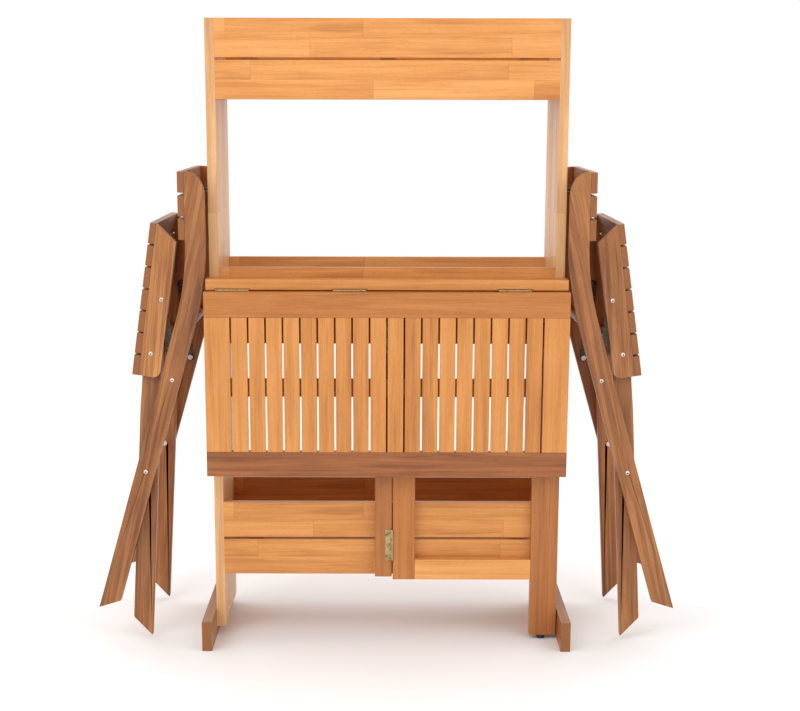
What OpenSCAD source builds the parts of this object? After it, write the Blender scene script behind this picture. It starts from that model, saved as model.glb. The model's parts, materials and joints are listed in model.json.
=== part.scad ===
// Patio dining set: a free-standing wooden cabinet with a drop-leaf table hinged to its
// front, a gate leg stored behind the leaf, and a folding chair hung on each side.
// X runs left to right, Y front to back, Z up; Z = 0 is the floor.

/* [Cabinet] */
// Width over the two side panels
cab_w = 720; // [680:1:760]
// Depth of the side panels
cab_d = 260; // [254:1:270]
// Height of the side panels above the floor
cab_h = 1265; // [1250:1:1300]
// Thickness of a side board
side_t = 19; // [16:1:22]
// Gap under the side panels
side_lift = 20; // [15:1:30]
// Seam between the two boards of a side panel
seam = 1; // [0.6:0.1:2]
// How far the runners reach in front of the side panels
runner_out = 110; // [90:1:115]
// Height of a runner
runner_h = 62; // [56:1:66]

/* [Boxes] */
// Height of one box board
board_h = 75; // [70:1:78]
// Gap between the two boards of a box face
board_gap = 5; // [3:0.5:8]
// Thickness of a box board
board_t = 15; // [12:1:18]
// Underside of the top box
top_box_z = 1110; // [1100:1:1115]
// Underside of the middle box
mid_box_z = 624; // [618:1:626]
// Underside of the lower box
low_box_z = 136; // [130:1:140]
// Width of an inner batten
batten_w = 31; // [24:1:36]
// Thickness of an inner batten and of a box floor
batten_t = 10; // [8:1:12]
// Distance of the outer front battens from the middle
batten_x = 273; // [260:1:280]

/* [Table] */
// Height of the fixed rail's top face, which is the table height
table_z = 758.5; // [750:0.5:768]
// Thickness of the fixed rail and of the leaf
top_t = 21; // [19:0.5:22]
// Depth of the fixed rail
rail_d = 43; // [40:0.5:46]
// Half the length of the fixed rail
rail_half = 364.5; // [362:0.5:365]
// Half the width of the leaf
flap_half = 367; // [362:0.5:367]
// Length of the leaf from its hinged edge
flap_len = 376; // [360:1:380]
// Width of the leaf's frame members
frame_w = 51; // [45:1:52]
// Number of leaf slats
slat_n = 18; // [14:1:20]
// Gap between the leaf slats
slat_gap = 3.6; // [3:0.1:6]
// Thickness of a leaf slat
slat_t = 12; // [11:0.5:12]
// Distance of the leaf batten's lower edge above the leaf's lower edge
flap_batten_z = 163; // [150:1:170]
// Width of the leaf batten
flap_batten_w = 37; // [30:1:40]

/* [Gate] */
// Left edge of the centre post
post_x = -24; // [-30:1:-20]
// Width of the centre post
post_w = 35; // [32:1:38]
// Width of the gate stile
stile_w = 46; // [40:1:50]
// Thickness of the gate
gate_t = 21; // [19:0.5:21]
// Underside of the gate frame
gate_z = 130; // [128:1:134]
// Width of a gate rail
gate_rail_w = 43; // [38:1:48]
// Outer edge of the gate leg
leg_x = 357.5; // [355:0.5:358]
// Width of the main lath of the gate leg
leg_w = 37; // [34:1:40]
// Width of the lath glued along the gate leg
leg_strip_w = 19; // [16:1:22]
// Height of the glide under the gate leg
glide_h = 9; // [7:0.5:12]

/* [Chairs] */
// Outer width of a chair
chair_w = 350; // [346:1:360]
// Thickness of every chair rail and leg
lath_t = 20; // [18:1:20]
// Width of a back rail
back_w = 40; // [38:1:40]
// Inner edge of a hung back rail, measured from the middle of the cabinet
back_x = 363; // [363:0.5:366]
// Height of the top of a hung chair
back_top = 970; // [965:1:975]
// Lean of the lower part of a hung back rail from the vertical
back_lean = 16.3; // [16:0.1:16.6]
// Width of a rear leg
leg_lath_w = 41; // [37:0.5:42]
// Width of a rear leg's round head, beside the seat
leg_head_w = 37; // [34:0.5:37]
// Lean of a hung rear leg from the vertical
leg_lean = 3.5; // [3.3:0.1:3.7]
// Lean of a hung seat from the vertical
seat_lean = 8.5; // [8.3:0.1:8.7]
// How far the seat sits down its rails from their link bolts
seat_drop = 8.5; // [0:0.5:10]
// Thickness of the chair slats
chair_slat_t = 13; // [11:0.5:13]
// Width of a seat slat
seat_slat_w = 41; // [38:0.5:41.5]
// Distance from one seat slat to the next
seat_pitch = 44.4; // [44:0.1:45]
// Diameter of a hanging pin
pin_d = 4.4; // [4:0.1:4.6]

/* [Hidden] */
$fn = 40;
fit = 0.05;                                   // radial clearance round every pin
head_h = 2.5;                                 // height of a bolt's dome
head_r = 4.5;
bolt_r = 3;

half = cab_w / 2;
front = -(cab_d / 2 + chair_w / 2 + head_h - runner_out) / 2;   // the side panels' front faces
back = front + cab_d;
inner = half - side_t;
box_h = 2 * board_h + board_gap;
box_in = inner;                               // half the length of a box board

table_under = table_z - top_t;
axis_y = front - rail_d - 0.25;               // leaf hinge
axis_z = table_under - 1;
flap_top = table_under - 2;
flap_back = front - rail_d - 0.5;
flap_front = flap_back - top_t + 0.5;
flap_low = flap_top - flap_len;
knuckle_r = 2.6;
flap_hinges = [-311, -75, 257];
flap_hinge_l = 68;

gate_front = front - gate_t - 1;
gate_axis_x = post_x + post_w + 0.5;
gate_axis_y = gate_front - 2.8;
stile_x = gate_axis_x + 1.5;
gate_top = 700;
gate_hinges = [172, 608];
gate_hinge_l = 66;

yc = (front + back) / 2;                      // middle of a hung chair
outer_y = chair_w / 2;                        // outer faces of the back rails, from yc
leg_y = outer_y - lath_t - 1;                 // outer faces of the rear legs, from yc
pivot = [495, 364.5];                         // back rail to rear leg, as [x, z]
link_low = [435.6, 554.8];                    // back rail to link
link_top = [453, 717.9];                      // link to seat
leg_top = [477.5, 608.7];                     // rear leg to seat
seat_in = 15;                                 // seat rail's edges, from link_top
seat_out = 27.6;
back_out = back_x + back_w;                   // outer edge of a back rail's upper part
back_slat_w = 41;
back_pitch = 46.5;

// ---- helpers ----

// A block from its lowest to its highest corner
module block(lo, hi) translate(lo) cube(hi - lo);

// A flat [x, z] outline made solid from y0 to y1
module slab(y0, y1) translate([0, y1, 0]) rotate([90, 0, 0]) linear_extrude(y1 - y0) children();

// A round bar along Y, and one along X
module bar_y(r, y0, y1) translate([0, y0, 0]) rotate([-90, 0, 0]) cylinder(r = r, h = y1 - y0);
module bar_x(r, x0, x1) translate([x0, 0, 0]) rotate([0, 90, 0]) cylinder(r = r, h = x1 - x0);

// A domed bolt head on a face, pointing along +Z
module dome() intersection() {
  translate([0, 0, head_h - (head_r * head_r + head_h * head_h) / (2 * head_h)])
    sphere(r = (head_r * head_r + head_h * head_h) / (2 * head_h));
  cylinder(r = head_r, h = head_h);
}

// Both ends of a chair: the near one and its mirror image about the chair's middle
module both_ends() {
  translate([0, yc, 0]) children();
  translate([0, yc, 0]) mirror([0, 1, 0]) children();
}

// A left-hand piece is the mirror image of the right-hand one
module left() mirror([1, 0, 0]) children();

// ---- cabinet ----

module side_board(y0, y1) {
  color("#c98d4b") difference() {
    block([inner, y0, side_lift], [half, y1, cab_h]);
    for (y = screw_ys()) translate([0, y, 42]) bar_x(2.5 + fit, inner - 1, half + 1);
    for (y = pin_ys()) translate([0, y, pin_z()]) bar_x(pin_d / 2 + fit, half - 15, half + 1);
  }
}
function screw_ys() = [front + 66, front + 200];
function pin_ys() = [yc - 70, yc + 70];
function pin_z() = back_top - back_slat_w - (back_pitch - back_slat_w) / 2;

module right_side_board_front() side_board(front, yc - seam / 2);
module right_side_board_rear() side_board(yc + seam / 2, back);
module left_side_board_front() left() right_side_board_front();
module left_side_board_rear() left() right_side_board_rear();

module right_runner() {
  color("#c0824a") difference() {
    block([half, front - runner_out, 0], [half + 20, back, runner_h]);
    for (y = screw_ys()) translate([0, y, 42]) bar_x(2.5 + fit, half - 1, half + 15);
    translate([half + 20, front - runner_out - 1, runner_h]) rotate([0, 45, 0])
      cube([3, cab_d + runner_out + 2, 3], center = false);
  }
}
module left_runner() left() right_runner();

module runner_screws() {
  color("silver") for (s = [-1, 1], y = screw_ys()) translate([0, y, 42]) scale([s, 1, 1]) {
    bar_x(2.5, inner, half + 14);
    translate([inner, 0, 0]) rotate([0, -90, 0]) dome();
  }
}

module box_face(y0, z0) for (z = [z0, z0 + board_h + board_gap])
  block([-box_in, y0, z], [box_in, y0 + board_t, z + board_h]);
module box_front(z0) color("#d19a55") box_face(front, z0);
module box_back(z0) color("#b98046") difference() {
  box_face(back - board_t, z0);
  for (s = [-1, 1], z = [z0 + board_h / 2, z0 + board_h * 1.5 + board_gap])
    translate([s * (inner - 8), 0, z]) bar_y(2, back - board_t - 1, back - board_t + 8);
}

// Laths behind the front boards
module box_battens(z0) color("#dba863")
  for (x = [-batten_x, 0, batten_x])
    block([x - batten_w / 2, front + board_t, z0 + batten_t],
          [x + batten_w / 2, front + board_t + batten_t, z0 + box_h - 6]);
module box_floor(z0) color("#b98046")
  block([-inner, front + board_t, z0], [inner, back - board_t, z0 + batten_t]);

module top_box_front_boards() box_front(top_box_z);
module top_box_back_boards() box_back(top_box_z);
module top_box_battens() box_battens(top_box_z);
module top_box_floor() box_floor(top_box_z);
module middle_box_front_boards() box_front(mid_box_z);
module middle_box_back_boards() box_back(mid_box_z);
module middle_box_battens() box_battens(mid_box_z);
module middle_box_floor() box_floor(mid_box_z);
module lower_box_front_boards() box_front(low_box_z);
module lower_box_back_boards() box_back(low_box_z);
module lower_box_battens() box_battens(low_box_z);
module lower_box_floor() box_floor(low_box_z);

module centre_post() color("#cf9550")
  block([post_x, gate_front, low_box_z], [post_x + post_w, front, table_under]);

module chair_hanging_pins() color("silver")
  for (s = [-1, 1], y = pin_ys()) translate([0, y, pin_z()]) scale([s, 1, 1])
    bar_x(pin_d / 2, half - 15, back_out + chair_slat_t + 8);

// ---- table ----

// The groove that a table hinge's knuckles turn in
module hinge_grooves() for (x = flap_hinges)
  block([x - flap_hinge_l / 2 - 1, axis_y - 3.4, axis_z - 3.4],
        [x + flap_hinge_l / 2 + 1, axis_y + 3.4, axis_z + 3.4]);

module fixed_table_rail() color("#d8a35c") difference() {
  block([-rail_half, front - rail_d, table_under], [rail_half, front, table_z]);
  hinge_grooves();
}

module knuckle(x0, x1, bore) translate([0, axis_y, axis_z]) difference() {
  bar_x(knuckle_r, x0, x1);
  bar_x(bore, x0 - 1, x1 + 1);
}

module rail_hinge_leaves() color("#c9a24a") for (x = flap_hinges) {
  third = flap_hinge_l / 3;
  for (s = [-1, 1]) difference() {
    union() {
      translate([0, axis_y, axis_z])
        bar_x(knuckle_r, x + s * third - third / 2 + 0.2, x + s * third + third / 2 - 0.2);
      block([x + s * third - third / 2 + 0.2, axis_y, axis_z - 0.5],
            [x + s * third + third / 2 - 0.2, front - 12, axis_z + 1]);
    }
    translate([0, axis_y, axis_z])
      bar_x(1.2 + fit, x + s * third - third / 2 - 1, x + s * third + third / 2 + 1);
  }
}
module table_hinge_pins() color("#b8913e") for (x = flap_hinges)
  translate([0, axis_y, axis_z]) bar_x(1.2, x - flap_hinge_l / 2, x + flap_hinge_l / 2);

module leaf_hinge_leaves() color("#c9a24a") for (x = flap_hinges) {
  third = flap_hinge_l / 3;
  difference() {
    union() {
      translate([0, axis_y, axis_z]) bar_x(knuckle_r, x - third / 2 + 0.2, x + third / 2 - 0.2);
      block([x - third / 2 + 0.2, flap_back, axis_z - 6], [x + third / 2 - 0.2, flap_back + 1.5, axis_z]);
      block([x - flap_hinge_l / 2, flap_back, flap_top - 35],
            [x + flap_hinge_l / 2, flap_back + 1.5, axis_z - 5]);
    }
    translate([0, axis_y, axis_z]) bar_x(1.2 + fit, x - third, x + third);
  }
}

module leaf_top_rail() color("#c48a4c") difference() {
  block([-flap_half, flap_front, flap_top - frame_w], [flap_half, flap_back, flap_top]);
  hinge_grooves();
}
module leaf_bottom_rail() color("#8f5636")
  block([-flap_half, flap_front, flap_low], [flap_half, flap_back, flap_low + frame_w]);
module leaf_stiles() color("#cf9550") for (s = [-1, 1]) scale([s, 1, 1])
  block([flap_half - frame_w, flap_front, flap_low + frame_w],
        [flap_half, flap_back, flap_top - frame_w]);
module leaf_slats() {
  span = 2 * (flap_half - frame_w);
  w = (span - (slat_n + 1) * slat_gap) / slat_n;
  color("#d6a05a") for (i = [0 : slat_n - 1])
    translate([-span / 2 + slat_gap + i * (w + slat_gap), flap_front, flap_low + frame_w])
      cube([w, slat_t, flap_len - 2 * frame_w]);
}
module leaf_batten() color("#b98046")
  block([-flap_half + frame_w, flap_front + slat_t, flap_low + flap_batten_z],
        [flap_half - frame_w, flap_back, flap_low + flap_batten_z + flap_batten_w]);

// ---- gate ----

module gate_knuckle(z0, z1) translate([gate_axis_x, gate_axis_y, z0]) difference() {
  cylinder(r = knuckle_r, h = z1 - z0);
  translate([0, 0, -1]) cylinder(r = 1.2 + fit, h = z1 - z0 + 2);
}
module gate_post_hinge_leaves() color("#c9a24a") for (z = gate_hinges) {
  third = gate_hinge_l / 3;
  for (k = [0, 2]) gate_knuckle(z + k * third + 0.2, z + (k + 1) * third - 0.2);
  block([gate_axis_x - 14, gate_front - 1.5, z], [gate_axis_x - 2.4, gate_front, z + gate_hinge_l]);
  for (k = [0, 2]) block([gate_axis_x - 3, gate_front - 1.5, z + k * third + 0.2],
                         [gate_axis_x - 1.6, gate_front, z + (k + 1) * third - 0.2]);
}
module gate_hinge_pins() color("#b8913e") for (z = gate_hinges)
  translate([gate_axis_x, gate_axis_y, z]) cylinder(r = 1.2, h = gate_hinge_l);
module gate_hinge_leaves() color("#c9a24a") for (z = gate_hinges) {
  third = gate_hinge_l / 3;
  gate_knuckle(z + third + 0.2, z + 2 * third - 0.2);
  block([stile_x - 1.2, gate_front + 0.5, z + 1], [stile_x, gate_front + 18, z + gate_hinge_l - 1]);
  block([gate_axis_x + 1.6, gate_front - 2, z + third + 0.2],
        [stile_x + 1, gate_front, z + 2 * third - 0.2]);
  block([stile_x - 1.2, gate_front - 1, z + third + 0.2],
        [stile_x, gate_front + 1, z + 2 * third - 0.2]);
}

gate_back = front - 1;
leg_in = leg_x - leg_w - leg_strip_w;
module gate_stile() color("#c98d4b")
  block([stile_x, gate_front, gate_z], [stile_x + stile_w, gate_back, gate_top]);
module gate_bottom_rail() color("#d6a05a")
  block([stile_x + stile_w, gate_front, gate_z], [leg_in, gate_back, gate_z + gate_rail_w]);
module gate_top_rail() color("#d6a05a")
  block([stile_x + stile_w, gate_front, gate_top - gate_rail_w], [leg_in, gate_back, gate_top]);
module gate_leg() color("#c48a4c") difference() {
  block([leg_in, gate_front, glide_h], [leg_in + leg_w, gate_back, gate_top]);
  translate([leg_in + leg_w - 12, (gate_front + gate_back) / 2, glide_h - 1])
    cylinder(r = 3 + fit, h = 17);
}
module gate_leg_strip() color("#cf9550")
  block([leg_in + leg_w, gate_front, glide_h], [leg_x, gate_back, gate_top]);
module gate_glide() color("#1c1c1c") translate([leg_in + leg_w - 12, (gate_front + gate_back) / 2, 0]) {
  cylinder(r1 = 8, r2 = 10, h = glide_h);
  cylinder(r = 3, h = glide_h + 15);
}

// ---- right-hand chair; the left-hand one is its mirror image ----

bend_r = 560;                                  // bend of a back rail, at its middle line
bend_z = 749;                                  // where its two middle lines would meet
bend_t = bend_r * tan(back_lean / 2);
function bend_at(r, a) = [back_x + back_w / 2 + bend_r - r * cos(a), bend_z + bend_t - r * sin(a)];
function along(p, a, d) = p + d * [sin(a), -cos(a)];
function across(a, d) = d * [cos(a), sin(a)];

module back_rail_outline() {
  r_out = bend_r - back_w / 2;
  r_in = bend_r + back_w / 2;
  low_out = bend_at(r_out, back_lean);
  low_in = bend_at(r_in, back_lean);
  polygon(concat(
    [[back_out, back_top]],
    [for (a = [0 : 3 : back_lean]) bend_at(r_out, a)],
    [low_out, along(low_out, back_lean, (low_out[1] - 75) / cos(back_lean)),
     along(low_in, back_lean, (low_in[1] - 89) / cos(back_lean)), low_in],
    [for (a = [15 : -3 : 0]) bend_at(r_in, a)],
    [for (a = [0 : 9 : 90]) [back_out - 5 - (back_w - 5) * cos(a), back_top - 46 + 46 * sin(a)]]
  ));
}

// A hole for a bolt that joins two laths, through both
module bolt_hole(p) translate([p[0], 0, p[1]]) bar_y(bolt_r + fit, -outer_y - 1, -outer_y + 60);

module back_rail() color("#b4743f") difference() {
  slab(-outer_y, -outer_y + lath_t) back_rail_outline();
  bolt_hole(pivot);
  bolt_hole(link_low);
}
module back_rails() both_ends() back_rail();
module back_slats() color("#c08048") for (i = [0 : 2])
  block([back_out, yc - outer_y, back_top + 0.5 - back_slat_w - i * back_pitch],
        [back_out + chair_slat_t, yc + outer_y, back_top + 0.5 - i * back_pitch]);
module rung() color("#b4743f") translate([409, yc, 655])
  bar_y(8, -outer_y + lath_t, outer_y - lath_t);

// A bolt along Y from the outer face, with a dome outside and a nut inside
module lath_bolt(p, grip) translate([p[0], -outer_y, p[1]]) {
  bar_y(bolt_r, 0, grip + 3);
  rotate([90, 0, 0]) dome();
  translate([0, grip + 0.5, 0]) rotate([-90, 0, 0]) cylinder(r = 5.5, h = 3.5);
}
module frame_bolts() color("silver") both_ends() {
  lath_bolt(pivot, 2 * lath_t + 1);
  lath_bolt(link_low, lath_t + 3.5);
}

module rear_leg_outline() {
  at = function(n, d) along(leg_top, leg_lean, d) + across(leg_lean, n);
  translate(leg_top) circle(r = leg_head_w / 2);
  polygon([at(-leg_head_w / 2, 0), at(leg_head_w / 2, 0), at(leg_head_w / 2, 60),
           at(leg_lath_w / 2, 120), at(leg_lath_w / 2, 563),
           at(-leg_lath_w / 2, 602), at(-leg_lath_w / 2, 120), at(-leg_head_w / 2, 60)]);
}
module rear_leg() color("#b4743f") difference() {
  slab(-leg_y, -leg_y + lath_t) rear_leg_outline();
  bolt_hole(pivot);
  bolt_hole(leg_top);
}
module rear_legs() both_ends() rear_leg();
module leg_stretcher() color("#b4743f") translate([0, yc, 0])
  slab(-leg_y + lath_t, leg_y - lath_t) translate(along(leg_top, leg_lean, 135))
    rotate(leg_lean) square([14, 32], center = true);

module seat_rail_outline() {
  end = 150;
  r = 14;
  at = function(n, d) along(link_top, seat_lean, d + seat_drop) + across(seat_lean, n);
  polygon(concat(
    [at(seat_out, -156), at(seat_out, end)],
    [for (a = [0 : 15 : 90]) at(-seat_in + r - r * sin(a), end - r + r * cos(a))],
    [at(-seat_in, -126)]
  ));
}
module seat_rail() color("#c08048") difference() {
  slab(-outer_y, -outer_y + lath_t) seat_rail_outline();
  bolt_hole(leg_top);
  translate([link_top[0], 0, link_top[1]]) bar_y(bolt_r + fit, -outer_y - 1, -outer_y + 15);
}
module seat_rails() both_ends() seat_rail();
module seat_slats() color("#b4743f") translate([0, yc, 0]) slab(-outer_y, outer_y)
  for (i = [0 : 6]) translate(along(link_top, seat_lean, seat_drop - 157 + seat_slat_w / 2 + i * seat_pitch)
                              + across(seat_lean, seat_out + chair_slat_t / 2))
    rotate(seat_lean) square([chair_slat_t, seat_slat_w], center = true);
module seat_bolts() color("silver") both_ends() {
  lath_bolt(leg_top, 2 * lath_t + 1);
  translate([link_top[0], -outer_y, link_top[1]]) {
    bar_y(bolt_r, 0, 14);
    rotate([90, 0, 0]) dome();
  }
}

module link_outline() {
  d = link_top - link_low;
  translate(link_low) rotate(atan2(d[1], d[0])) {
    translate([0, -8]) square([norm(d), 16]);
    circle(r = 8);
    translate([norm(d), 0]) circle(r = 8);
  }
}
module links() color("#b8913e") both_ends() {
  difference() {
    slab(-outer_y + lath_t + 0.5, -outer_y + lath_t + 3) link_outline();
    bolt_hole(link_low);
  }
  translate([link_top[0], -outer_y + lath_t + 3, link_top[1]]) rotate([-90, 0, 0]) dome();
}

module right_chair_back_rails() back_rails();
module right_chair_back_slats() back_slats();
module right_chair_rung() rung();
module right_chair_frame_bolts() frame_bolts();
module right_chair_rear_legs() rear_legs();
module right_chair_leg_stretcher() leg_stretcher();
module right_chair_seat_rails() seat_rails();
module right_chair_seat_slats() seat_slats();
module right_chair_seat_bolts() seat_bolts();
module right_chair_links() links();
module left_chair_back_rails() left() back_rails();
module left_chair_back_slats() left() back_slats();
module left_chair_rung() left() rung();
module left_chair_frame_bolts() left() frame_bolts();
module left_chair_rear_legs() left() rear_legs();
module left_chair_leg_stretcher() left() leg_stretcher();
module left_chair_seat_rails() left() seat_rails();
module left_chair_seat_slats() left() seat_slats();
module left_chair_seat_bolts() left() seat_bolts();
module left_chair_links() left() links();

left_side_board_front();
left_side_board_rear();
right_side_board_front();
right_side_board_rear();
left_runner();
right_runner();
runner_screws();
top_box_front_boards();
top_box_back_boards();
top_box_battens();
top_box_floor();
middle_box_front_boards();
middle_box_back_boards();
middle_box_battens();
middle_box_floor();
lower_box_front_boards();
lower_box_back_boards();
lower_box_battens();
lower_box_floor();
centre_post();
fixed_table_rail();
chair_hanging_pins();
rail_hinge_leaves();
table_hinge_pins();
gate_post_hinge_leaves();
gate_hinge_pins();
leaf_top_rail();
leaf_bottom_rail();
leaf_stiles();
leaf_slats();
leaf_batten();
leaf_hinge_leaves();
gate_stile();
gate_top_rail();
gate_bottom_rail();
gate_leg();
gate_leg_strip();
gate_glide();
gate_hinge_leaves();
left_chair_back_rails();
left_chair_back_slats();
left_chair_rung();
left_chair_frame_bolts();
left_chair_rear_legs();
left_chair_leg_stretcher();
left_chair_seat_rails();
left_chair_seat_slats();
left_chair_seat_bolts();
left_chair_links();
right_chair_back_rails();
right_chair_back_slats();
right_chair_rung();
right_chair_frame_bolts();
right_chair_rear_legs();
right_chair_leg_stretcher();
right_chair_seat_rails();
right_chair_seat_slats();
right_chair_seat_bolts();
right_chair_links();
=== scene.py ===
"""Looks of the patio dining set: oiled hardwood boards and laths, brass hinges, zinc-plated
bolts, blackened link bars and hanging pins, and a black glide, on a pale studio floor.

The CAD nodes stay as they are. Each gets its own finish, laid along its own grain, and
modifiers that ease its edges. The small fittings that the CAD leaves plain, such as screw
heads, are separate pieces that ride on the same bodies."""

import json
import math
import random

import bmesh
import bpy
from mathutils import Matrix, Vector


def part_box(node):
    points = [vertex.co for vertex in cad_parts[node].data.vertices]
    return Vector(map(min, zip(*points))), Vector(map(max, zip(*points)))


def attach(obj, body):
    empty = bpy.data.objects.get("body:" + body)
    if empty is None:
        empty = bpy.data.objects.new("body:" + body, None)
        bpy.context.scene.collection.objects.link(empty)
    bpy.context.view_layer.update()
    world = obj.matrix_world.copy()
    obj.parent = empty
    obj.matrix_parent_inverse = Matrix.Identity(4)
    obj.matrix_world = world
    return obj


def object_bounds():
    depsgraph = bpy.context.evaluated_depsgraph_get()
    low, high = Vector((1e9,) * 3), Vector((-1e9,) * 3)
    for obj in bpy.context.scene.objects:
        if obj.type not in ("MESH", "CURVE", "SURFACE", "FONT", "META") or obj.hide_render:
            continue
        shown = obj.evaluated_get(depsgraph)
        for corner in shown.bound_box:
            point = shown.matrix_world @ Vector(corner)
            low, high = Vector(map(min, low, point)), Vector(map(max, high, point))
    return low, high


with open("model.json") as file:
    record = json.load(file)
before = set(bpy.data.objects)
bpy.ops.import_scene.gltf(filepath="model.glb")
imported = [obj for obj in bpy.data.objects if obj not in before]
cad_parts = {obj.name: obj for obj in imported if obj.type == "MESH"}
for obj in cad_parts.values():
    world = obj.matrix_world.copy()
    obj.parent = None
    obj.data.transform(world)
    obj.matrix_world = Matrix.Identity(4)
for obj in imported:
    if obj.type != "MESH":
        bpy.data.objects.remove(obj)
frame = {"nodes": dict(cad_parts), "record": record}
cad_lo, cad_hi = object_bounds()
MM = 0.001
WELD = 0.01 * MM  # corners closer than this are one corner
X, Y, Z = Vector((1, 0, 0)), Vector((0, 1, 0)), Vector((0, 0, 1))

# ---------------------------------------------------------------- shader helpers


class Graph:
    """A material's node tree, with short calls for the nodes used here."""

    def __init__(self, name):
        self.material = bpy.data.materials.new(name)
        self.material.use_nodes = True
        self.tree = self.material.node_tree
        self.shader = self.tree.nodes["Principled BSDF"]

    def add(self, kind, inputs=(), **settings):
        node = self.tree.nodes.new(kind)
        for key, value in settings.items():
            setattr(node, key, value)
        for key, value in dict(inputs).items():
            self.put(node, key, value)
        return node

    def put(self, node, key, value):
        if isinstance(value, bpy.types.NodeSocket):
            self.tree.links.new(value, node.inputs[key])
        else:
            node.inputs[key].default_value = value

    def math(self, operation, *values):
        return self.add("ShaderNodeMath", enumerate(values), operation=operation).outputs[0]

    def vector(self, operation, *values):
        node = self.add("ShaderNodeVectorMath", enumerate(values), operation=operation)
        scalar = operation in ("DOT_PRODUCT", "DISTANCE")
        return node.outputs["Value" if scalar else "Vector"]

    def combine(self, *parts):
        return self.add("ShaderNodeCombineXYZ", enumerate(parts)).outputs[0]

    def noise(self, place, scale, detail=2.0, roughness=0.5, distortion=0.0):
        settings = {"Vector": self.vector("MULTIPLY", place, scale), "Scale": 1.0, "Detail": detail,
                    "Roughness": roughness, "Distortion": distortion}
        return self.add("ShaderNodeTexNoise", settings).outputs["Fac"]

    def span(self, value, low, high, out_low=0.0, out_high=1.0):
        settings = {"Value": value, "From Min": low, "From Max": high,
                    "To Min": out_low, "To Max": out_high}
        return self.add("ShaderNodeMapRange", settings, clamp=True).outputs[0]

    def ramp(self, factor, *stops):
        node = self.add("ShaderNodeValToRGB", {0: factor})
        elements = node.color_ramp.elements
        while len(elements) < len(stops):
            elements.new(0.5)
        for element, (place, colour) in zip(elements, stops):
            element.position = place
            element.color = (*colour, 1)
        return node.outputs[0]

    def mix(self, factor, a, b):
        node = self.add("ShaderNodeMix", data_type="RGBA")
        for key, value in ((0, factor), (6, a), (7, b)):
            self.put(node, key, (*value, 1) if isinstance(value, tuple) else value)
        return node.outputs[2]

    def bump(self, height, strength, distance):
        node = self.add("ShaderNodeBump", {"Height": height, "Strength": strength, "Distance": distance})
        self.tree.links.new(node.outputs[0], self.shader.inputs["Normal"])

    def link(self, socket, name):
        self.tree.links.new(socket, self.shader.inputs[name])


BOARD_NUMBER = "board_number"  # a number from 0 to 1 that each board of a node has to itself


def darker(colour, share):
    return tuple(c * share for c in colour)


# ---------------------------------------------------------------- wood

# each tone is light, middle and dark wood: the cabinet's from the palest to the darkest boards,
# then the two that the chairs have
# the side boards' tone is partly their own paler wood and partly a painted highlight for the light that
# their front edges catch
BLOND_HIGHLIT = (0.88, 0.54, 0.27), (0.78, 0.44, 0.19), (0.58, 0.27, 0.095)
STRAW = (0.89, 0.49, 0.20), (0.78, 0.385, 0.125), (0.56, 0.225, 0.060)
PALE = (0.86, 0.40, 0.125), (0.74, 0.305, 0.072), (0.50, 0.165, 0.034)
HONEY = (0.80, 0.36, 0.105), (0.67, 0.27, 0.060), (0.42, 0.14, 0.028)
GOLD = (0.74, 0.32, 0.085), (0.61, 0.235, 0.048), (0.38, 0.12, 0.022)
AMBER = (0.58, 0.22, 0.050), (0.46, 0.155, 0.028), (0.26, 0.075, 0.014)
RUST = (0.50, 0.18, 0.042), (0.39, 0.13, 0.024), (0.20, 0.058, 0.012)
DARK = (0.40, 0.135, 0.035), (0.27, 0.080, 0.018), (0.11, 0.028, 0.008)
TAWNY = (0.63, 0.275, 0.078), (0.41, 0.152, 0.037), (0.18, 0.054, 0.013)
CHAIR = (0.46, 0.185, 0.052), (0.285, 0.098, 0.024), (0.12, 0.034, 0.0085)
FINISHES = {}

# a glued-up board's first lath starts this far below the board's edge
LATH_START = 0.0025
# arbitrary steps in noise space, so that no two boards, rows or staves look alike
ROW_STEP, BOARD_ROW_STEP = 7.31, 19.0
STAVE_STEP, BOARD_STEP, STAVE_DEPTH_STEP = 31.0, 17.0, 13.0
# how many waves of the ring figure one unit of noise makes, and the rings per metre of a cut end
RING_WAVES, END_RINGS = 46.0, 2500.0
# the share of knot cells that are left without a knot, and how square to the grain a cut end is
KNOTLESS, CUT_END = 0.8, 0.85


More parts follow.
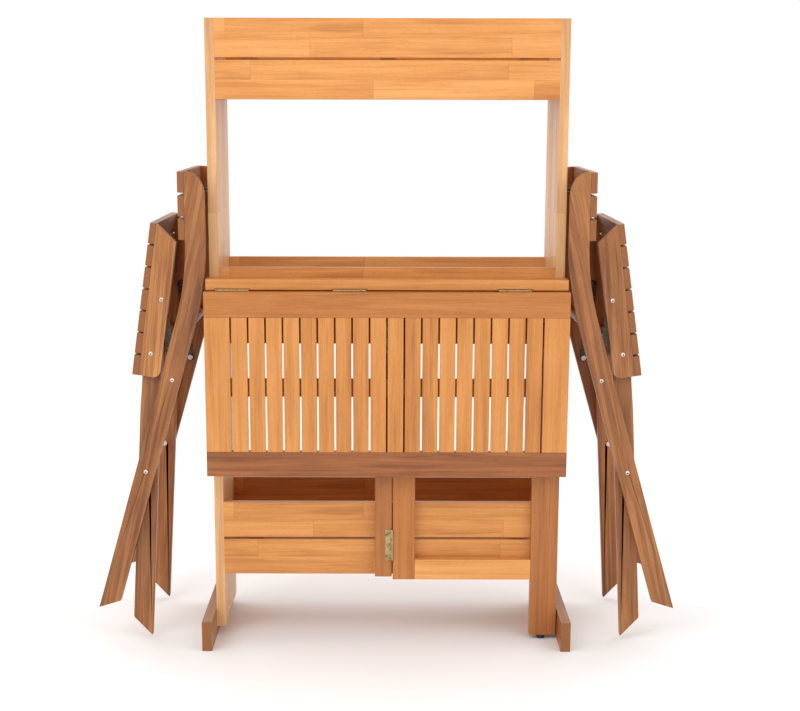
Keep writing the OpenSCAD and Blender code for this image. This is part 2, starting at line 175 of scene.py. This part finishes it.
def wood(tones, along, across, corner, lath=None, joint=None, figure=1.0):
    """Oiled, open-pored hardwood whose grain runs along one direction of its piece.

    corner is the piece's lowest corner. lath is the pitch of the laths that a wide board is
    glued up from and joint the mean length of a lath, where the end joints can be seen."""
    through = along.cross(across)
    key = (tones, tuple(along), tuple(across), tuple(corner) if lath else None, joint, figure)
    if key in FINISHES:
        return FINISHES[key]
    light, middle, dark = tones
    g = Graph(f"oiled_wood_{len(FINISHES)}")
    FINISHES[key] = g.material

    coordinates = g.add("ShaderNodeTexCoord")
    place = g.vector("SUBTRACT", coordinates.outputs["Object"], tuple(corner))
    run = g.vector("DOT_PRODUCT", place, tuple(along))
    rise = g.vector("DOT_PRODUCT", place, tuple(across))
    depth = g.vector("DOT_PRODUCT", place, tuple(through))
    island = g.add("ShaderNodeAttribute", attribute_name=BOARD_NUMBER).outputs["Fac"]

    # which stave of the board this point is in, as a random number, and how near its joints
    stave, seam = island, None
    if lath:
        row = g.math("DIVIDE", g.math("ADD", rise, LATH_START), lath)
        index = g.math("FLOOR", row)
        row_key = g.math("MULTIPLY_ADD", index, ROW_STEP, g.math("MULTIPLY", island, BOARD_ROW_STEP))
        steps = g.math("ADD", g.math("DIVIDE", run, joint), row_key)
        cell = g.add("ShaderNodeTexVoronoi", voronoi_dimensions="1D")
        edge = g.add("ShaderNodeTexVoronoi", voronoi_dimensions="1D", feature="DISTANCE_TO_EDGE")
        for voronoi in (cell, edge):
            g.put(voronoi, "W", steps)
            g.put(voronoi, "Scale", 1.0)
        stave = g.add("ShaderNodeSeparateColor", {0: cell.outputs["Color"]}).outputs[0]
        end_seam = g.span(edge.outputs["Distance"], 0.0004 / joint, 0.0011 / joint, 1.0, 0.0)
        across_row = g.math("FRACT", row)
        near = g.math("MINIMUM", across_row, g.math("SUBTRACT", 1.0, across_row))
        long_seam = g.span(near, 0.0002 / lath, 0.0007 / lath, 0.8, 0.0)
        seam = g.math("MAXIMUM", end_seam, long_seam)

    shift = g.combine(g.math("MULTIPLY", stave, STAVE_STEP),
                      g.math("MULTIPLY", island, BOARD_STEP),
                      g.math("MULTIPLY", stave, STAVE_DEPTH_STEP))
    spot = g.vector("ADD", g.combine(run, rise, depth), shift)

    # rings as long wavy bands, fine fibres, short dark pores, slow patches, dark streaks and veins
    bands = g.noise(spot, (2.4, 70.0, 70.0), 3.0, 0.6, 0.3)
    ring = g.math("SINE", g.math("MULTIPLY", bands, RING_WAVES))
    fibre = g.noise(spot, (15.0, 800.0, 800.0), 3.0, 0.7)
    pore = g.span(g.noise(spot, (80.0, 1700.0, 1700.0), 1.0), 0.58, 0.72)
    patch = g.noise(spot, (3.5, 20.0, 20.0), 3.0, 0.55)
    streak = g.span(g.noise(spot, (1.6, 90.0, 90.0), 3.0, 0.65, 0.6), 0.60, 0.78)
    vein = g.span(g.noise(spot, (1.1, 210.0, 210.0), 2.0, 0.5, 0.25), 0.60, 0.70)

    tone = g.math("MULTIPLY_ADD", ring, 0.05 * figure, 0.5)
    for part, share in ((bands, 0.9 * figure), (patch, 0.7 * figure), (fibre, 0.42), (stave, 0.30)):
        tone = g.math("MULTIPLY_ADD", g.math("SUBTRACT", part, 0.5), share, tone)
    colour = g.ramp(tone, (0.1, dark), (0.5, middle), (0.88, light))
    colour = g.mix(g.math("MULTIPLY", pore, 0.34), colour, darker(dark, 0.8))
    colour = g.mix(g.math("MULTIPLY", streak, 0.45 * figure), colour, darker(dark, 0.6))
    colour = g.mix(g.math("MULTIPLY", vein, 0.5 * figure - 0.32), colour, darker(dark, 0.7))

    # knots, few and small, with the grain dark around them
    knot_place = g.vector("MULTIPLY", spot, (4.0, 11.0, 11.0))
    knot_at = g.add("ShaderNodeTexVoronoi", {"Vector": knot_place, "Scale": 1.0})
    knot = g.span(knot_at.outputs["Distance"], 0.03, 0.075, 0.85, 0.0)
    draw = g.add("ShaderNodeSeparateColor", {0: knot_at.outputs["Color"]}).outputs[1]
    chosen = g.math("GREATER_THAN", draw, KNOTLESS)
    colour = g.mix(g.math("MULTIPLY", knot, chosen), colour, darker(dark, 0.45))

    # cut ends are darker, with the rings as arcs and the pores as specks
    facing = g.math("ABSOLUTE", g.vector("DOT_PRODUCT", coordinates.outputs["Normal"], tuple(along)))
    cut_end = g.math("GREATER_THAN", facing, CUT_END)
    heart = g.combine(0.0, g.math("MULTIPLY", island, 0.05), -0.05)
    radius = g.vector("DISTANCE", g.combine(0.0, rise, depth), heart)
    arcs = g.math("SINE", g.math("MULTIPLY_ADD", radius, END_RINGS, g.math("MULTIPLY", patch, 6.0)))
    speck = g.noise(spot, (200.0, 1400.0, 1400.0), 2.0, 0.6)
    end_tone = g.math("MULTIPLY_ADD", arcs, 0.14, speck)
    end_colour = g.ramp(end_tone, (0.22, dark), (0.5, middle), (0.8, light))
    colour = g.mix(cut_end, colour, end_colour)
    if seam:
        colour = g.mix(g.math("MULTIPLY", seam, 0.22), colour, darker(dark, 0.6))
    g.link(colour, "Base Color")

    gloss = g.math("MULTIPLY_ADD", fibre, 0.18, g.math("MULTIPLY", pore, 0.14))
    g.link(g.math("ADD", gloss, g.math("MULTIPLY_ADD", cut_end, 0.2, 0.33)), "Roughness")
    height = g.math("SUBTRACT", fibre, g.math("MULTIPLY", pore, 0.8))
    if seam:
        height = g.math("SUBTRACT", height, g.math("MULTIPLY", seam, 1.5))
    g.bump(height, 0.25, 0.0006)
    g.shader.inputs["IOR"].default_value = 1.48
    g.shader.inputs["Coat Weight"].default_value = 0.08
    g.shader.inputs["Coat Roughness"].default_value = 0.3
    return g.material


# ---------------------------------------------------------------- metal and plastic


def metal(name, colour, dull, roughness):
    """Plated metal with fine brushing and dull, slightly rougher spots."""
    g = Graph(name)
    place = g.add("ShaderNodeTexCoord").outputs["Object"]
    spots = g.noise(place, (160.0, 160.0, 160.0), 4.0, 0.6)
    brushed = g.noise(place, (900.0, 900.0, 60.0), 2.0, 0.7)
    g.link(g.mix(g.span(spots, 0.46, 0.70), colour, dull), "Base Color")
    rough = g.math("MULTIPLY_ADD", spots, 0.22, g.math("MULTIPLY", brushed, 0.12))
    g.link(g.math("ADD", rough, roughness - 0.17), "Roughness")
    g.bump(brushed, 0.12, 0.0002)
    g.shader.inputs["Metallic"].default_value = 1.0
    return g.material


def plastic(name, colour, worn, worn_height):
    """Moulded plastic with a fine spark-eroded grain, paler where it rubs on the floor."""
    g = Graph(name)
    place = g.add("ShaderNodeTexCoord").outputs["Object"]
    height = g.add("ShaderNodeSeparateXYZ", {0: place}).outputs[2]
    grain = g.noise(place, (2600.0, 2600.0, 2600.0), 2.0, 0.6)
    low = g.span(height, 0.0, worn_height, 1.0, 0.0)
    scuff = g.math("MULTIPLY", low, g.noise(place, (500.0, 500.0, 500.0), 3.0))
    g.link(g.mix(scuff, colour, worn), "Base Color")
    g.link(g.span(grain, 0.2, 0.8, 0.42, 0.62), "Roughness")
    g.bump(grain, 0.25, 0.0003)
    return g.material


METALS = {
    "brass": metal("aged_brass", (0.50, 0.37, 0.19), (0.24, 0.165, 0.075), 0.40),
    "steel": metal("zinc_plated_steel", (0.82, 0.80, 0.75), (0.50, 0.48, 0.44), 0.34),
    # blackened steel is the links' and pins' own finish, and also the painted shade of the screw rims,
    # screw recesses and bolt sockets
    "blackened": metal("blackened_steel_and_shade", (0.12, 0.105, 0.09), (0.05, 0.042, 0.035), 0.45),
    "black_plastic": plastic("black_plastic", (0.018, 0.018, 0.018), (0.12, 0.12, 0.12), 0.003),
}

# ---------------------------------------------------------------- finishes on the CAD nodes


END_SHARE = 0.12  # the part of a leaning lath's height that counts as its end
SHARP = math.radians(32)  # edges that turn by more than this are eased


def length_direction(node):
    """The direction from a leaning lath's lower end to its upper end."""
    points = [v.co for v in frame["nodes"][node].data.vertices]
    lo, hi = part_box(node)
    band = END_SHARE * (hi.z - lo.z)
    top = [p for p in points if p.z > hi.z - band]
    foot = [p for p in points if p.z < lo.z + band]
    direction = sum(top, Vector()) / len(top) - sum(foot, Vector()) / len(foot)
    direction.y = 0
    return direction.normalized()


BOARD_LATHS = {"lath": 0.040, "joint": 0.40}
SIDE_LATHS = {"lath": 0.0645, "joint": 0.55}

# the first name that is part of a node's name gives its tones, grain direction, the face's
# direction across the grain (None for a leaning lath), and how its board is glued up
WOODEN = (
    # the side boards' palest tone is partly a painted highlight
    ("side_board", BLOND_HIGHLIT, Z, Y, SIDE_LATHS),
    ("runner", CHAIR, Y, Z, {}),
    ("top_box_front", PALE, X, Z, BOARD_LATHS),
    ("top_box_back", GOLD, X, Z, BOARD_LATHS),
    ("middle_box_front", GOLD, X, Z, BOARD_LATHS),
    ("middle_box_back", STRAW, X, Z, BOARD_LATHS),
    ("lower_box_front", HONEY, X, Z, BOARD_LATHS),
    ("lower_box_back", GOLD, X, Z, BOARD_LATHS),
    ("box_battens", HONEY, Z, X, {}),
    ("box_floor", AMBER, X, Y, BOARD_LATHS),
    ("centre_post", RUST, Z, X, {}),
    ("fixed_table_rail", GOLD, X, Z, {}),
    ("leaf_top_rail", AMBER, X, Z, {}),
    ("leaf_bottom_rail", DARK, X, Z, {"figure": 1.3}),
    ("leaf_stiles", GOLD, Z, X, {}),
    ("leaf_slats", GOLD, Z, X, {}),
    ("leaf_batten", AMBER, X, Z, {}),
    ("gate_stile", AMBER, Z, X, {}),
    ("gate_top_rail", GOLD, X, Z, {}),
    ("gate_bottom_rail", PALE, X, Z, {}),
    ("gate_leg", RUST, Z, X, {}),
    ("back_rails", CHAIR, None, None, {"figure": 1.5}),
    ("back_slats", CHAIR, Y, Z, {"figure": 1.5}),
    ("rung", CHAIR, Y, Z, {}),
    ("rear_legs", CHAIR, None, None, {"figure": 1.5}),
    ("leg_stretcher", CHAIR, Y, Z, {}),
    ("left_chair_seat_rails", TAWNY, None, None, {"figure": 1.5}),
    ("seat_rails", CHAIR, None, None, {"figure": 1.5}),
    ("seat_slats", CHAIR, Y, Z, {"figure": 1.5}),
)
CHAIR_EASE, RUNNER_EASE, BOARD_EASE, METAL_EASE = 2.0 * MM, 4.0 * MM, 1.0 * MM, 0.3 * MM


def board_numbers():
    """Modifier nodes that close the seams between a solid's faces and number its boards."""
    group = bpy.data.node_groups.new("board_numbers", "GeometryNodeTree")
    for direction in ("INPUT", "OUTPUT"):
        group.interface.new_socket("Geometry", in_out=direction, socket_type="NodeSocketGeometry")
    add, link = group.nodes.new, group.links.new
    source, result = add("NodeGroupInput"), add("NodeGroupOutput")
    close = add("GeometryNodeMergeByDistance")
    close.inputs["Distance"].default_value = WELD
    drop = add("GeometryNodeRemoveAttribute")
    drop.inputs["Name"].default_value = "custom_normal"
    smooth = add("GeometryNodeSetShadeSmooth")
    island = add("GeometryNodeInputMeshIsland")
    number = add("FunctionNodeRandomValue")
    store = add("GeometryNodeStoreNamedAttribute")
    store.domain = "FACE"
    store.inputs["Name"].default_value = BOARD_NUMBER
    chain = (source, close, drop, smooth, store, result)
    for before, after in zip(chain, chain[1:]):
        link(before.outputs[0], after.inputs[0])
    link(island.outputs["Island Index"], number.inputs["ID"])
    link(number.outputs[1], store.inputs["Value"])
    return group


NUMBER_BOARDS = board_numbers()


def ease_edges(piece, width, segments):
    """Rounds the sharp edges, with the flat faces kept flat in the shading."""
    piece.modifiers.new("numbered_boards", "NODES").node_group = NUMBER_BOARDS
    bevel = piece.modifiers.new("eased_edges", "BEVEL")
    bevel.width = width
    bevel.segments = segments
    bevel.limit_method = "ANGLE"
    bevel.angle_limit = SHARP
    bevel.harden_normals = True


DARKENED = ("chair_hanging_pins", "left_chair_links", "right_chair_links")


def finish_node(node, piece):
    slot = next(s["material_slot"] for s in frame["record"]["subparts"] if s["node"] == node)
    if slot in METALS:
        finish = "blackened" if node in DARKENED else slot
        piece.material_slots[0].material = METALS[finish]
        ease_edges(piece, METAL_EASE, 2)
        return
    _, tones, along, across, glued = next(row for row in WOODEN if row[0] in node)
    if along is None:
        along = length_direction(node)
        across = along.cross(Y)
    piece.material_slots[0].material = wood(tones, along, across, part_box(node)[0], **glued)
    ease = CHAIR_EASE if "chair" in node else RUNNER_EASE if "runner" in node else BOARD_EASE
    ease_edges(piece, ease, 3)


for node_name in sorted(frame["nodes"]):
    finish_node(node_name, frame["nodes"][node_name])

# ---------------------------------------------------------------- fittings


def turned(name, body, material, outline, places, facing, sides=24):
    """Small turned heads, all in one piece: outline is the head's radius at each height above
    the face it sits on, places are the centres on that face, and facing is its direction."""
    mesh = bmesh.new()
    spin = facing.to_track_quat("Z", "Y").to_matrix()
    rng = random.Random(name)
    for place in places:
        twist = Matrix.Rotation(rng.uniform(0, math.pi), 3, "Z")
        rings = []
        for radius, height in outline:
            ring = []
            for i in range(sides):
                angle = 2 * math.pi * i / sides
                flat = twist @ Vector((radius * math.cos(angle), radius * math.sin(angle), height))
                ring.append(mesh.verts.new(place + spin @ flat))
            rings.append(ring)
        for low, high in zip(rings, rings[1:]):
            for i in range(sides):
                j = (i + 1) % sides
                mesh.faces.new((low[i], low[j], high[j], high[i]))
        mesh.faces.new(rings[-1])
        mesh.faces.new(list(reversed(rings[0])))
    data = bpy.data.meshes.new(name)
    mesh.to_mesh(data)
    mesh.free()
    for polygon in data.polygons:
        polygon.use_smooth = len(polygon.vertices) == 4
    data.materials.append(material)
    piece = bpy.data.objects.new(name, data)
    bpy.context.scene.collection.objects.link(piece)
    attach(piece, body)


# the dark rim and recess of each screw are painted shade: a blackened ring round the head stands for the
# shade in the countersink's gap, and a blackened square on the head for the shade in its recess
SCREW_R = 3.0 * MM
SCREW_RIM_SHADE = ((1.22 * SCREW_R, -0.3 * MM), (1.22 * SCREW_R, 0.04 * MM))
SCREW_HEAD = ((SCREW_R, -0.3 * MM), (SCREW_R, 0.2 * MM),
              (0.8 * SCREW_R, 0.5 * MM), (0.5 * SCREW_R, 0.6 * MM))
RECESS_SHADE = ((0.42 * SCREW_R, 0.4 * MM), (0.42 * SCREW_R, 0.64 * MM))
# the bolt socket is painted shade: a blackened hexagon on each bolt's head stands for the shade inside
# its hex socket
SOCKET_SHADE_R = 1.9 * MM
SOCKET_SHADE = ((SOCKET_SHADE_R, -0.8 * MM), (SOCKET_SHADE_R, 0.05 * MM))
HINGE_PLATE = 1.5 * MM  # thickness of a hinge leaf
POST_SCREW_IN = 5.5 * MM  # from a post hinge leaf's free edge to its row of screws


def screws(name, body, places, facing):
    """Countersunk brass screws: a dark ring of painted shade for the countersink's gap, the head, and a
    dark square of painted shade for its recess.
    """
    turned(name + "_rims", body, METALS["blackened"], SCREW_RIM_SHADE, places, facing)
    turned(name, body, METALS["brass"], SCREW_HEAD, places, facing)
    turned(name + "_recesses", body, METALS["blackened"], RECESS_SHADE, places, facing, sides=4)


def solids(node):
    """The lowest and highest corner of each separate solid in a CAD node."""
    mesh = bmesh.new()
    mesh.from_mesh(frame["nodes"][node].data)
    bmesh.ops.remove_doubles(mesh, verts=mesh.verts, dist=WELD)
    unseen, boxes = set(mesh.verts), []
    while unseen:
        stack, group = [unseen.pop()], []
        while stack:
            vertex = stack.pop()
            group.append(vertex.co.copy())
            for edge in vertex.link_edges:
                other = edge.other_vert(vertex)
                if other in unseen:
                    unseen.remove(other)
                    stack.append(other)
        boxes.append((Vector(map(min, zip(*group))), Vector(map(max, zip(*group)))))
    mesh.free()
    return sorted(boxes, key=lambda box: tuple(box[0]))


def post_hinge_screws():
    """Three screws down each hinge leaf on the centre post's front."""
    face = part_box("centre_post")[0].y - HINGE_PLATE
    places = [Vector((lo.x + POST_SCREW_IN, face, lo.z + (hi.z - lo.z) * share))
              for lo, hi in solids("gate_post_hinge_leaves") for share in (0.14, 0.5, 0.86)]
    screws("post_hinge_screws", "cabinet", places, -Y)


def table_hinge_screws():
    """Three screws across each leaf hinge's plate, on the table leaf's back."""
    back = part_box("leaf_top_rail")[1].y + HINGE_PLATE
    places = [Vector((lo.x + (hi.x - lo.x) * share, back, lo.z + rise * MM))
              for lo, hi in solids("leaf_hinge_leaves")
              for share, rise in ((0.16, 9.0), (0.5, 17.0), (0.84, 9.0))]
    screws("table_hinge_screws", "table_leaf", places, Y)


def bolt_socket_shades(side):
    """A dark hexagon of painted shade for the socket in each bolt's domed head, at both ends of the
    chair.
    """
    for part, body in (("frame_bolts", "back"), ("seat_bolts", "seat")):
        node = f"{side}_chair_{part}"
        middle = sum(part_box(node), Vector()) / 2
        for facing in (Y, -Y):
            places = []
            for lo, hi in solids(node):
                centre = (lo + hi) / 2
                if (centre - middle).dot(facing) > 0:
                    outer = hi.y if facing.y > 0 else lo.y
                    places.append(Vector((centre.x, outer, centre.z)))
            end = "rear" if facing.y > 0 else "front"
            turned(f"{side}_{part}_{end}_sockets", f"{side}_chair_{body}",
                   METALS["blackened"], SOCKET_SHADE, places, facing, sides=6)


post_hinge_screws()
table_hinge_screws()
for chair_side in ("left", "right"):
    bolt_socket_shades(chair_side)

# ---------------------------------------------------------------- camera, light and floor

SENSOR = 36.0
LENS = 76.5
CAMERA_GAP = 3.4607  # from the side panels' front edges
CAMERA_HEIGHT = 1.0994
PITCH = math.radians(13.35)
ROLL = math.radians(0.13)
SHIFT = (0.0168, 0.191)  # the picture's middle is off the lens's axis

camera_data = bpy.data.cameras.new("camera")
camera_data.sensor_width = SENSOR
camera_data.lens = LENS
camera_data.shift_x, camera_data.shift_y = SHIFT
camera = bpy.data.objects.new("camera", camera_data)
camera.location = (0.0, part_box("left_side_board_front")[0].y - CAMERA_GAP, CAMERA_HEIGHT)
looking_down = Matrix.Rotation(math.pi / 2 - PITCH, 3, "X")
camera.rotation_euler = (looking_down @ Matrix.Rotation(ROLL, 3, "Z")).to_euler()
bpy.context.scene.collection.objects.link(camera)
bpy.context.scene.camera = camera

CENTRE = (cad_lo + cad_hi) / 2


def soft_light(name, place, size, power):
    data = bpy.data.lights.new(name, "AREA")
    data.shape = "RECTANGLE"
    data.size, data.size_y = size
    data.energy = power
    light = bpy.data.objects.new(name, data)
    light.location = place
    light.rotation_euler = (CENTRE - Vector(place)).to_track_quat("-Z", "Y").to_euler()
    bpy.context.scene.collection.objects.link(light)


soft_light("key", (-1.9, -2.6, 2.6), (1.8, 1.8), 26)
soft_light("fill", (2.4, -2.4, 1.7), (2.0, 2.0), 10)
soft_light("top", (0.0, 0.2, 3.2), (2.4, 1.6), 10)
soft_light("rear_left", (-2.2, 1.8, 2.0), (1.4, 1.4), 8)
soft_light("rear_right", (2.2, 1.8, 2.0), (1.4, 1.4), 8)

world = bpy.data.worlds.new("studio")
world.use_nodes = True
world.node_tree.nodes["Background"].inputs["Color"].default_value = (1.0, 1.0, 1.0, 1)
world.node_tree.nodes["Background"].inputs["Strength"].default_value = 1.0
bpy.context.scene.world = world
bpy.context.scene.view_settings.view_transform = "Standard"


def studio_floor(half=2.8):
    """A pale floor with a soft mottling that can only just be seen."""
    corners = [(-half, -half, 0), (half, -half, 0), (half, half, 0), (-half, half, 0)]
    data = bpy.data.meshes.new("floor")
    data.from_pydata(corners, [], [(0, 1, 2, 3)])
    floor = bpy.data.objects.new("floor", data)
    g = Graph("studio_floor")
    place = g.add("ShaderNodeTexCoord").outputs["Object"]
    mottle = g.noise(place, (3.0, 3.0, 3.0), 4.0)
    g.link(g.mix(mottle, (0.97, 0.97, 0.97), (0.94, 0.94, 0.94)), "Base Color")
    g.link(g.span(mottle, 0.0, 1.0, 0.8, 0.95), "Roughness")
    g.bump(mottle, 0.1, 0.001)
    data.materials.append(g.material)
    bpy.context.scene.collection.objects.link(floor)


studio_floor()
